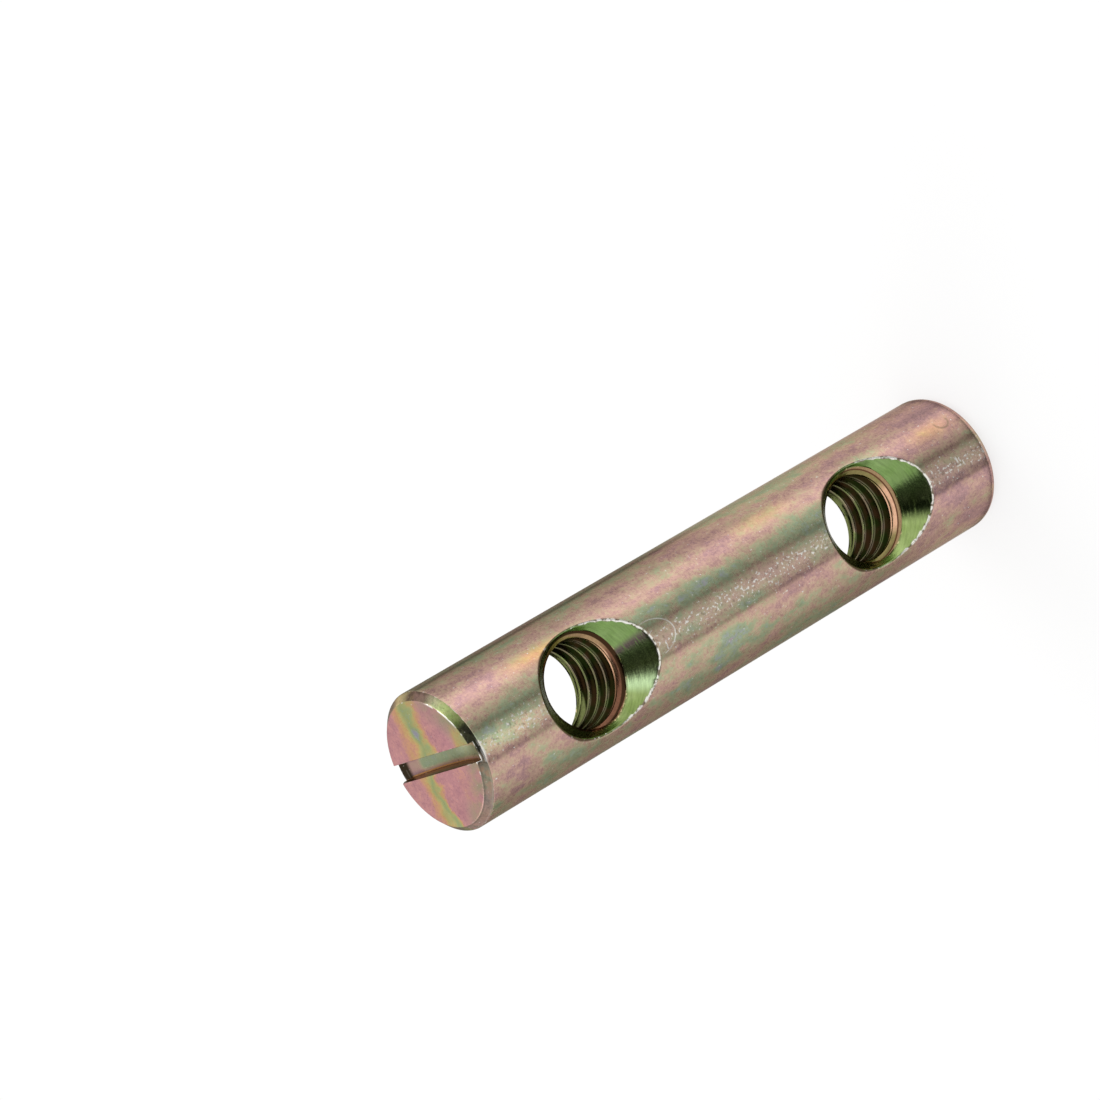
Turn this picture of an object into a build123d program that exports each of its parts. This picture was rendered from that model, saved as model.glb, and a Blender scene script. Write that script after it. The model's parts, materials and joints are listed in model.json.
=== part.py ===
"""Cross dowel nut: a slim turned steel dowel with two threaded cross holes.

Millimetres, +Z up. The dowel stands upright on its plain end. The origin is the centre of
the plain end face. The screwdriver slot lies across the top end, parallel to the holes, and
the screws enter from -Y.
"""
import os
from math import radians, tan

from build123d import *

# dowel body
dowel_dia = 14.0
dowel_length = 70.0
plain_end_round = 1.4          # rounded edge of the plain end
slotted_end_chamfer = 0.7      # 45 degree edge of the slotted end

# threaded holes, M10 x 1.5, bored here to the thread's crest diameter
thread_crest_dia = 8.5
plain_end_to_first_hole = 16.0
hole_spacing = 38.0
countersink_angle = 82.0       # included angle, the same at both mouths of each hole
countersink_dia = 14.1         # where the cone meets the plane that touches the dowel's side

# screwdriver slot, sunk straight in by a disc saw, so its floor is the saw's own curve
slot_width = 1.8
slot_depth = 2.0               # in the middle
saw_radius = 25.0

# dependent sizes
dowel_radius = dowel_dia / 2
crest_radius = thread_crest_dia / 2
second_hole = plain_end_to_first_hole + hole_spacing
hole_heights = (plain_end_to_first_hole, second_hole)
cone_slope = tan(radians(countersink_angle / 2))
cone_start = dowel_radius - (countersink_dia / 2 - crest_radius) / cone_slope
saw_centre = dowel_length - slot_depth + saw_radius
tool_overrun = 2.0             # cutting shapes start this far outside the dowel


with BuildPart() as dowel:
    # turned bar with its two end edges
    Cylinder(dowel_radius, dowel_length, align=(Align.CENTER, Align.CENTER, Align.MIN))
    chamfer(dowel.faces().sort_by(Axis.Z)[-1].edges(), slotted_end_chamfer)
    fillet(dowel.faces().sort_by(Axis.Z)[0].edges(), plain_end_round)

    # threaded holes: straight bore through, and a countersink at each mouth
    for height in hole_heights:
        with BuildSketch(Plane.XY.offset(height)) as half_section:
            with BuildLine():
                outer_end = dowel_radius + tool_overrun
                mouth_radius = crest_radius + (outer_end - cone_start) * cone_slope
                Polyline(
                    (0, -outer_end),
                    (mouth_radius, -outer_end),
                    (crest_radius, -cone_start),
                    (crest_radius, cone_start),
                    (mouth_radius, outer_end),
                    (0, outer_end),
                    close=True,
                )
            make_face()
        hole_axis = Axis((0, 0, height), (0, 1, 0))
        revolve(half_section.sketch, hole_axis, 360, mode=Mode.SUBTRACT)

    # slot across the top end: the disc saw goes in from above
    with BuildSketch(Plane.YZ.offset(-slot_width / 2)):
        with Locations((0, saw_centre)):
            Circle(saw_radius)
    extrude(amount=slot_width, mode=Mode.SUBTRACT)

dowel.part.label = "dowel"

os.makedirs("parts", exist_ok=True)
export_step(dowel.part, "parts/dowel.step")
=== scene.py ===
"""Cross dowel nut: the finish of a zinc-plated steel dowel with two threaded cross holes.

Metres, +Z up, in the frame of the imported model. The dowel stands on its plain end, with the
screwdriver slot across its top end and the screws' side facing -Y. One closed mesh stands for the
CAD node: its side, ends, slot and countersinks are laid out here from the record's sizes, and
a Geometry Nodes tree taps the two threads into it.
"""
import json
import math

import bmesh
import bpy
from mathutils import Matrix, Vector


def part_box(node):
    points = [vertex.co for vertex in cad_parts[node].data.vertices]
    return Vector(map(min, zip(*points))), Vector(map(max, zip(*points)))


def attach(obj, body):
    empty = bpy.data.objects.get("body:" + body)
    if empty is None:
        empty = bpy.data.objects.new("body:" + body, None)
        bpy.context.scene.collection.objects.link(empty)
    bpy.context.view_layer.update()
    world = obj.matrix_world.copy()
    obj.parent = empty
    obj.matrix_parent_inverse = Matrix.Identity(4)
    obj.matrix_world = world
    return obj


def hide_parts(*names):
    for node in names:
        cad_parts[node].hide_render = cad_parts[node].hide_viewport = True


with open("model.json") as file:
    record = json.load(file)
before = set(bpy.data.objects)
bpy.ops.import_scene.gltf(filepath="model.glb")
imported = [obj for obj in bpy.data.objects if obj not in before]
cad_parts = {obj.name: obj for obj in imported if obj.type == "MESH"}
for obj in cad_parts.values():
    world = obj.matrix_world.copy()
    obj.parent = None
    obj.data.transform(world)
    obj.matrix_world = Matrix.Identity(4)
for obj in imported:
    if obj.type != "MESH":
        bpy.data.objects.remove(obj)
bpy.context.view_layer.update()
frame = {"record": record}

MM = 0.001

# sizes that the frame gives
dowel_low, dowel_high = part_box("dowel")
mounts = {mount["name"]: mount for mount in frame["record"]["mounts"]}
dowel_radius = min(dowel_high.x, -dowel_low.x, dowel_high.y, -dowel_low.y)
dowel_length = dowel_high.z
hole_heights = [mounts[name]["pos_m"][2] for name in ("first_hole", "second_hole")]
crest_radius = mounts["first_hole"]["dims"]["r_mm"] * MM
bore_half_length = mounts["first_hole"]["dims"]["length_mm"] / 2 * MM

# edges and slot, as in the solid but for the saw, which ran out inside the -Y edge
plain_end_round = 1.4 * MM
slotted_end_chamfer = 0.7 * MM
slot_half_width = 0.9 * MM
slot_depth = 2.0 * MM
saw_radius = 18.0 * MM
saw_shift = 0.9 * MM           # how far towards +Y the saw sat
countersink_slope = math.tan(math.radians(82.0 / 2))

# thread, M10 x 1.5, right-handed
thread_pitch = 1.5 * MM
root_radius = 5.0 * MM
crest_flat = 0.25              # parts of the pitch
root_flat = 0.125
crest_depths = (-1.02 * MM, -0.83 * MM)   # depth of a crest straight above each hole's axis
thread_fade = 0.2 * MM         # the grooves run out over this length before the rim

# places that follow from the sizes
saw_centre = dowel_length - slot_depth + saw_radius
top_edge_radius = dowel_radius - slotted_end_chamfer

# layout of the mesh: a window of the side round each mouth is laid out in rings about the hole
slot_columns = 3                                       # columns on each half of the slot
window_columns = 8 * slot_columns                      # columns on each half of a window
cheek_columns = 17                                     # columns between two windows
window_rows = 2 * window_columns
slot_half_angle = math.asin(slot_half_width / dowel_radius)
window_half_angle = slot_half_angle * window_columns / slot_columns
window_half_height = 8.75 * MM
bore_columns = 4 * window_columns + 2 * window_rows
round_rows = 9                                         # rows of the plain end's rounding
foot_rows = 4                                          # from the rounding to the first window
middle_rows = 12                                       # between the windows
head_rows = 4                                          # from the second window to the slot's floor
wall_rows = 3                                          # from the slot's floor to the edge break
break_rows = 4                                         # across the edge break
ring_steps = (0.12, 0.28, 0.46, 0.64, 0.82)            # from the rim out to the window's edge
cone_ring_step = 0.32 * MM                             # between the countersink's rings, in depth
threaded_reach = 4.68 * MM                             # the thread is laid out to this depth
rim_margin = 0.15 * MM
row_gap = 0.02 * MM                                    # least gap between a row and a ring
edge_margin = 0.22 * MM
rim_round = 0.20 * MM                                  # rounding of the rims of the mouths
edge_break = 0.4                                       # share of it on every other edge

SIDE, ENDS, BORE = 0, 1, 2


class Shell:
    """Points and faces of one closed mesh, with the edges that get rounded."""

    def __init__(self):
        self.points = []
        self.faces = []
        self.zones = []
        self.rounded = {}
        self.reach = {}
        self.burr = {}

    def point(self, x, y, z):
        self.points.append((x, y, z))
        return len(self.points) - 1

    def face(self, corners, zone):
        kept = [c for i, c in enumerate(corners) if c != corners[i - 1]]
        if len(kept) > 2:
            self.faces.append(kept)
            self.zones.append(zone)

    def strip(self, near, far, zone):
        """Faces between two rows with the same number of points."""
        for i in range(len(near) - 1):
            self.face([near[i], near[i + 1], far[i + 1], far[i]], zone)

    def round_edges(self, chain, amount):
        for a, b in zip(chain, chain[1:]):
            self.rounded[min(a, b), max(a, b)] = amount


def blend(a, b, t):
    return a + (b - a) * t


def on_side(azimuth, height, radius=dowel_radius):
    return radius * math.sin(azimuth), -radius * math.cos(azimuth), height


def floor_height(y):
    """Height of the slot's floor, which is the disc saw's curve."""
    return saw_centre - math.sqrt(saw_radius ** 2 - (y - saw_shift) ** 2)


# ---------------------------------------------------------------- side, ends and slot

side_columns = 2 * (2 * window_columns + cheek_columns)
back = side_columns // 2


def column_azimuth(column, radius=dowel_radius):
    """Azimuth of a column. Beside the slot, it stays on the slot's wall at any radius."""
    half_turns, step = divmod((column + window_columns) % side_columns, back)
    step -= window_columns
    if step > window_columns:
        cheek = (math.pi - 2 * window_half_angle) / cheek_columns
        return half_turns * math.pi + window_half_angle + (step - window_columns) * cheek
    angle = step * slot_half_angle / slot_columns
    spread = math.asin(slot_half_width / radius) - slot_half_angle
    if abs(step) <= slot_columns:
        spread *= step / slot_columns
    else:
        left = (window_columns - abs(step)) / (window_columns - slot_columns)
        spread *= math.copysign(left, step)
    return half_turns * math.pi + angle + spread


def side_rows():
    """Each row of the side as a function from azimuth to radius and height, from the plain end up."""
    rows = []
    for i in range(round_rows):
        turn = math.pi / 2 * i / (round_rows - 1)
        radius = dowel_radius - plain_end_round * (1 - math.sin(turn))
        rows.append((radius, plain_end_round * (1 - math.cos(turn))))
    stops = [plain_end_round]
    for height in hole_heights:
        stops += [height - window_half_height, height + window_half_height]
    for i, count in enumerate((foot_rows, window_rows, middle_rows, window_rows)):
        for k in range(1, count + 1):
            rows.append((dowel_radius, blend(stops[i], stops[i + 1], k / count)))
    return rows, stops[-1]


def lay_side(shell):
    """The round side from the plain end's flat to the slotted end's flat, with its windows open."""
    lower_rows, lower_top = side_rows()
    grid = []
    for radius, height in lower_rows:
        azimuths = [column_azimuth(c) for c in range(side_columns)]
        grid.append([on_side(a, height, radius) for a in azimuths])
    chamfer_start = dowel_length - slotted_end_chamfer
    upper = []
    for c in range(side_columns):
        azimuth = column_azimuth(c)
        floor = floor_height(dowel_radius * abs(math.cos(azimuth)))
        heights = [blend(lower_top, floor, k / head_rows) for k in range(1, head_rows + 1)]
        heights += [blend(floor, chamfer_start, k / wall_rows) for k in range(1, wall_rows + 1)]
        upper.append([on_side(azimuth, h) for h in heights])
    floor_row = len(grid) + head_rows - 1
    grid += [[upper[c][k] for c in range(side_columns)] for k in range(head_rows + wall_rows)]
    chamfer_row = len(grid) - 1
    for k in range(1, break_rows + 1):
        radius = dowel_radius - slotted_end_chamfer * k / break_rows
        height = chamfer_start + slotted_end_chamfer * k / break_rows
        grid.append([on_side(column_azimuth(c, radius), height, radius) for c in range(side_columns)])

    first_window = round_rows + foot_rows - 1
    second_window = first_window + window_rows + middle_rows
    windows = [(start, start + window_rows) for start in (first_window, second_window)]

    def offset(column):
        """Steps from the middle of the nearer mouth, and None beside a window."""
        step = (column + window_columns) % back - window_columns
        return step if step <= window_columns else None

    def slot_start(column):
        """The lowest row that the slot opens. At -Y it only opens the edge break's upper half."""
        in_front = (column + window_columns) % side_columns < back
        return chamfer_row + break_rows // 2 if in_front else floor_row

    def is_open(row, column):
        step = offset(column)
        if step is None:
            return False
        in_window = any(a < row < b for a, b in windows) and abs(step) < window_columns
        in_slot = row > slot_start(column) and abs(step) < slot_columns
        return in_window or in_slot

    index = [[None] * side_columns for _ in grid]
    for row, points in enumerate(grid):
        for column, point in enumerate(points):
            if not is_open(row, column):
                index[row][column] = shell.point(*point)
    for row in range(len(grid) - 1):
        for column in range(side_columns):
            after = (column + 1) % side_columns
            low, high = index[row], index[row + 1]
            corners = [low[column], low[after], high[after], high[column]]
            if None in corners:
                continue
            step = (column + window_columns) % back - window_columns
            in_window = any(a <= row < b for a, b in windows)
            in_window = in_window and -window_columns <= step < window_columns
            in_slot = row >= slot_start(column) and -slot_columns <= step < slot_columns
            if in_window or in_slot:
                continue
            shell.face(corners, ENDS if row >= chamfer_row else SIDE)
    return index, windows, floor_row, chamfer_row


def lay_plain_end(shell, edge):
    """The flat of the plain end: rings in to a middle point."""
    rim = [shell.points[p] for p in edge]
    outer = edge
    for share in (0.75, 0.5, 0.25):
        inner = [shell.point(x * share, y * share, z) for x, y, z in rim]
        shell.strip(outer + outer[:1], inner + inner[:1], ENDS)
        outer = inner
    centre = shell.point(0, 0, rim[0][2])
    for a, b in zip(outer, outer[1:] + outer[:1]):
        shell.face([a, b, centre], ENDS)


def lay_slotted_end(shell, index, floor_row, chamfer_row):
    """The two half-moons of the slotted end, the slot's walls and its floor."""
    top = len(index) - 1
    front_row = chamfer_row + break_rows // 2
    edges = {}
    for side in (1, -1):
        columns = [side * c % side_columns for c in range(slot_columns, back - slot_columns + 1)]
        arc = [index[top][c] for c in columns]
        reach = math.sqrt(top_edge_radius ** 2 - slot_half_width ** 2)
        count = len(arc) - 1
        straight = [arc[0]]
        for k in range(1, count):
            y = blend(-reach, reach, k / count)
            straight.append(shell.point(side * slot_half_width, y, dowel_length))
        straight.append(arc[-1])

        # a narrow border inside the half-moon's edge, and one flat inside it
        inner_radius = top_edge_radius - edge_margin
        inner_x = slot_half_width + edge_margin
        corner = math.asin(inner_x / inner_radius)
        inner_reach = inner_radius * math.cos(corner)
        border_arc = []
        for k in range(count + 1):
            azimuth = blend(corner, math.pi - corner, k / count)
            x, y, z = on_side(azimuth, dowel_length, inner_radius)
            border_arc.append(shell.point(side * x, y, z))
        border_straight = [border_arc[0]]
        for k in range(1, count):
            y = blend(-inner_reach, inner_reach, k / count)
            border_straight.append(shell.point(side * inner_x, y, dowel_length))
        border_straight.append(border_arc[-1])
        shell.strip(arc, border_arc, ENDS)
        shell.strip(straight, border_straight, ENDS)
        shell.face(border_arc + border_straight[-2:0:-1], ENDS)
        shell.round_edges(arc, edge_break)
        shell.round_edges(straight, edge_break)
        edges[side] = straight

    lines = []
    count = len(edges[1]) - 1
    for k in range(-slot_columns, slot_columns + 1):
        front = index[front_row][k % side_columns]
        rear = index[floor_row][(back - k) % side_columns]
        x = shell.points[front][0]
        line = [front]
        for n in range(1, count):
            y = blend(shell.points[front][1], shell.points[rear][1], n / count)
            line.append(shell.point(x, y, floor_height(y)))
        line.append(rear)
        lines.append(line)
    for near, far in zip(lines, lines[1:]):
        shell.strip(near, far, ENDS)
    for n in (0, -1):
        shell.round_edges([line[n] for line in lines], edge_break)

    for side, floor in ((1, lines[-1]), (-1, lines[0])):
        front_column = side * slot_columns % side_columns
        rear_column = (back - side * slot_columns) % side_columns
        front = [index[row][front_column] for row in range(front_row, top + 1)]
        rear = [index[row][rear_column] for row in range(floor_row, top + 1)]
        shell.round_edges(front, edge_break)
        shell.round_edges(rear, edge_break)
        front = front[:1] * (len(rear) - len(front)) + front
        lay_patch(shell, floor, edges[side], front, rear, ENDS)


def lay_patch(shell, bottom, top, left, right, zone):
    """A four-sided flat patch between rows of points that share their end points."""
    def at(chain, k):
        return Vector(shell.points[chain[k]])

    rows = [bottom]
    width = len(bottom) - 1
    height = len(left) - 1
    for r in range(1, height):
        v = r / height
        row = [left[r]]
        for c in range(1, width):
            u = c / width
            ruled = blend(at(bottom, c), at(top, c), v) + blend(at(left, r), at(right, r), u)
            low = blend(at(bottom, 0), at(bottom, width), u)
            high = blend(at(top, 0), at(top, width), u)
            row.append(shell.point(*(ruled - blend(low, high, v))))
        row.append(right[r])
        rows.append(row)
    rows.append(top)
    for near, far in zip(rows, rows[1:]):
        shell.strip(near, far, zone)


# ---------------------------------------------------------------- holes

def cone_radius(depth):
    return crest_radius + max(0.0, abs(depth) - bore_half_length) * countersink_slope


def rim_depth(angle):
    """Where the countersink leaves the dowel's side, as a distance from the dowel's axis plane."""
    s = math.sin(angle) ** 2
    base = crest_radius - countersink_slope * bore_half_length
    a = s * countersink_slope ** 2 + 1
    b = s * countersink_slope * base
    c = s * base ** 2 - dowel_radius ** 2
    return (-b + math.sqrt(b * b - a * c)) / a


def thread_rows():
    """Places of the mesh's rows along one pitch: the thread's corners, and finer ones for its ends."""
    corners = [0.0, 0.11, 0.14, 0.28, 0.42, 0.455, 0.545, 0.58, 0.72, 0.86, 0.89]
    fine = [k / 24 for k in range(24)]
    rows = {place: True for place in corners}
    for place in fine:
        if min(abs(place - c) for c in corners + [1.0]) > 0.012:
            rows[place] = False
    return sorted(rows.items())


def lay_hole(shell, height, crest_depth, index, window):
    """Rings round both mouths, the countersinks, and the bore with rows that follow the thread."""
    perimeter = []
    for k in range(bore_columns):
        place = (k + window_columns) % bore_columns
        if place < 2 * window_columns:
            perimeter.append((place - window_columns, window_rows))
        elif place < 2 * window_columns + window_rows:
            perimeter.append((window_columns, window_rows - (place - 2 * window_columns)))
        elif place < 4 * window_columns + window_rows:
            perimeter.append((window_columns - (place - 2 * window_columns - window_rows), 0))
        else:
            perimeter.append((-window_columns, place - 4 * window_columns - window_rows))

    angles = [2 * math.pi * k / bore_columns for k in range(bore_columns)]
    rims = {}
    for face_y in (-1, 1):
        rings = []
        for angle, (step, row) in zip(angles, perimeter):
            depth = rim_depth(angle)
            radius = cone_radius(depth)
            x = radius * math.sin(angle)
            rim_azimuth = math.asin(x / dowel_radius)
            rim_height = height + radius * math.cos(angle)
            column = step if face_y < 0 else back - step
            edge = index[window[0] + row][column % side_columns]
            edge_azimuth = step * slot_half_angle / slot_columns
            edge_height = shell.points[edge][2]
            chain = []
            for t in (0.0,) + ring_steps:
                azimuth = blend(rim_azimuth, edge_azimuth, t)
                if face_y > 0:
                    azimuth = math.pi - azimuth
                chain.append(shell.point(*on_side(azimuth, blend(rim_height, edge_height, t))))
            chain.append(edge)
            rings.append(chain)
        for near, far in zip(rings, rings[1:] + rings[:1]):
            shell.strip(near, far, SIDE)
        rims[face_y] = [chain[0] for chain in rings]
        # how much of the rim shows bright beads and painted highlight rather than painted shade: most
        # towards the plain end
        for angle, point in zip(angles, rims[face_y]):
            shell.burr[point] = min(1.0, max(0.0, 0.9 - 1.6 * math.cos(angle - math.radians(8))))
        shell.round_edges(rims[face_y] + rims[face_y][:1], 1.0)

    places = thread_rows()
    far_key = 1e6
    columns = []
    for k, angle in enumerate(angles):
        rim = rim_depth(angle)
        turns = angle / (2 * math.pi)

        def bore_point(depth):
            radius = cone_radius(depth)
            point = shell.point(radius * math.sin(angle), depth, height + radius * math.cos(angle))
            shell.reach[point] = min(1.0, (rim - abs(depth)) / thread_fade)
            return point

        rings = []
        depth = threaded_reach
        while depth < rim - rim_margin:
            rings.append(depth)
            depth += cone_ring_step
        reach = min(threaded_reach, rim - rim_margin + 0.5 * row_gap)
        column = [(-2 * far_key, rims[-1][k])]
        for n, depth in reversed(list(enumerate(rings))):
            column.append((-far_key - n, bore_point(-depth)))
        lowest = math.floor((-reach - crest_depth) / thread_pitch - turns) - 1
        highest = math.ceil((reach - crest_depth) / thread_pitch - turns) + 1
        for pitch_number in range(lowest, highest):
            for n, (place, is_corner) in enumerate(places):
                depth = crest_depth + thread_pitch * (turns + pitch_number + place)
                if abs(depth) > reach - row_gap:
                    continue
                if not is_corner and abs(depth) < bore_half_length - 0.1 * MM:
                    continue
                column.append((pitch_number * len(places) + n, bore_point(depth)))
        for n, depth in enumerate(rings):
            column.append((far_key + n, bore_point(depth)))
        column.append((2 * far_key, rims[1][k]))
        columns.append(column)
    shift = len(places)
    closing = [(key - shift if abs(key) < far_key / 2 else key, point) for key, point in columns[0]]
    for near, far in zip(columns, columns[1:] + [closing]):
        zip_columns(shell, near, far)


def zip_columns(shell, near, far):
    """Faces between two columns: quads where both have a row, triangles where one row ends."""
    i, j = 0, 0
    while i < len(near) - 1 or j < len(far) - 1:
        near_key = near[i + 1][0] if i < len(near) - 1 else math.inf
        far_key = far[j + 1][0] if j < len(far) - 1 else math.inf
        corners = [near[i][1]]
        if near_key <= far_key:
            i += 1
            corners.append(near[i][1])
        if far_key <= near_key:
            corners += [far[j + 1][1], far[j][1]]
            j += 1
        else:
            corners.append(far[j][1])
        shell.face(corners, BORE)


# ---------------------------------------------------------------- the thread as a node tree

def tapped_thread_tree(bore_material):
    """Moves the bore's points out to a right-handed thread about an axis along Y."""
    tree = bpy.data.node_groups.new("tapped_thread", "GeometryNodeTree")
    tree.is_modifier = True
    tree.interface.new_socket("Geometry", in_out="INPUT", socket_type="NodeSocketGeometry")
    sizes = (
        ("Hole Height", hole_heights[0]),
        ("Crest Radius", crest_radius),
        ("Root Radius", root_radius),
        ("Pitch", thread_pitch),
        ("Crest Depth", crest_depths[0]),
        ("Crest Flat", crest_flat),
        ("Root Flat", root_flat),
        ("Mouth Radius", window_half_height),
    )
    for name, value in sizes:
        socket = tree.interface.new_socket(name, in_out="INPUT", socket_type="NodeSocketFloat")
        socket.default_value = value
    tree.interface.new_socket("Geometry", in_out="OUTPUT", socket_type="NodeSocketGeometry")
    given = tree.nodes.new("NodeGroupInput")
    result = tree.nodes.new("NodeGroupOutput")

    def math_node(operation, *values):
        node = tree.nodes.new("ShaderNodeMath")
        node.operation = operation
        for socket, value in zip(node.inputs, values):
            if isinstance(value, bpy.types.NodeSocket):
                tree.links.new(value, socket)
            else:
                socket.default_value = value
        return node.outputs[0]

    position = tree.nodes.new("GeometryNodeInputPosition")
    split = tree.nodes.new("ShaderNodeSeparateXYZ")
    tree.links.new(position.outputs[0], split.inputs[0])
    x, y, z = split.outputs
    above = math_node("SUBTRACT", z, given.outputs["Hole Height"])
    squares = math_node("ADD", math_node("MULTIPLY", x, x), math_node("MULTIPLY", above, above))
    radius = math_node("SQRT", squares)
    turns = math_node("DIVIDE", math_node("ARCTAN2", x, above), 2 * math.pi)

    from_start = math_node("SUBTRACT", y, given.outputs["Crest Depth"])
    along = math_node("DIVIDE", from_start, given.outputs["Pitch"])
    from_crest = math_node("PINGPONG", math_node("SUBTRACT", along, turns), 0.5)
    flank_start = math_node("MULTIPLY", given.outputs["Crest Flat"], 0.5)
    flank_end = math_node("SUBTRACT", 0.5, math_node("MULTIPLY", given.outputs["Root Flat"], 0.5))
    flank_length = math_node("SUBTRACT", flank_end, flank_start)
    share = math_node("DIVIDE", math_node("SUBTRACT", from_crest, flank_start), flank_length)
    share = math_node("MINIMUM", math_node("MAXIMUM", share, 0.0), 1.0)

    reach = tree.nodes.new("GeometryNodeInputNamedAttribute")
    reach.data_type = "FLOAT"
    reach.inputs["Name"].default_value = "tap_reach"
    share = math_node("MULTIPLY", share, reach.outputs["Attribute"])
    full_depth = math_node("SUBTRACT", given.outputs["Root Radius"], given.outputs["Crest Radius"])
    tapped = math_node("ADD", given.outputs["Crest Radius"], math_node("MULTIPLY", share, full_depth))
    new_radius = math_node("MAXIMUM", radius, tapped)
    growth = math_node("DIVIDE", new_radius, math_node("MAXIMUM", radius, 1e-6))
    place = tree.nodes.new("ShaderNodeCombineXYZ")
    tree.links.new(math_node("MULTIPLY", x, growth), place.inputs[0])
    tree.links.new(y, place.inputs[1])
    raised = math_node("ADD", given.outputs["Hole Height"], math_node("MULTIPLY", above, growth))
    tree.links.new(raised, place.inputs[2])
    cut = math_node("DIVIDE", math_node("SUBTRACT", new_radius, radius), full_depth)

    in_reach = math_node("GREATER_THAN", reach.outputs["Attribute"], 0.0)
    near_hole = math_node("LESS_THAN", radius, given.outputs["Mouth Radius"])
    chosen = math_node("MULTIPLY", in_reach, near_hole)

    store = tree.nodes.new("GeometryNodeStoreNamedAttribute")
    store.data_type = "FLOAT"
    store.domain = "POINT"
    store.inputs["Name"].default_value = "cut_depth"
    move = tree.nodes.new("GeometryNodeSetPosition")
    realize = tree.nodes.new("GeometryNodeRealizeInstances")
    paint = tree.nodes.new("GeometryNodeSetMaterial")
    paint.inputs["Material"].default_value = bore_material
    bored = tree.nodes.new("GeometryNodeInputNamedAttribute")
    bored.data_type = "BOOLEAN"
    bored.inputs["Name"].default_value = "bored"
    tree.links.new(given.outputs["Geometry"], store.inputs["Geometry"])
    tree.links.new(chosen, store.inputs["Selection"])
    tree.links.new(cut, store.inputs["Value"])
    tree.links.new(store.outputs["Geometry"], move.inputs["Geometry"])
    tree.links.new(chosen, move.inputs["Selection"])
    tree.links.new(place.outputs[0], move.inputs["Position"])
    tree.links.new(move.outputs["Geometry"], realize.inputs["Geometry"])
    tree.links.new(realize.outputs["Geometry"], paint.inputs["Geometry"])
    tree.links.new(bored.outputs["Attribute"], paint.inputs["Selection"])
    tree.links.new(paint.outputs["Geometry"], result.inputs["Geometry"])
    return tree


def set_input(modifier, name, value):
    """Sets a Geometry Nodes input by its socket's identifier."""
    for item in modifier.node_group.interface.items_tree:
        if item.item_type == "SOCKET" and item.in_out == "INPUT" and item.name == name:
            modifier[item.identifier] = value


# ---------------------------------------------------------------- finishes

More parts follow.
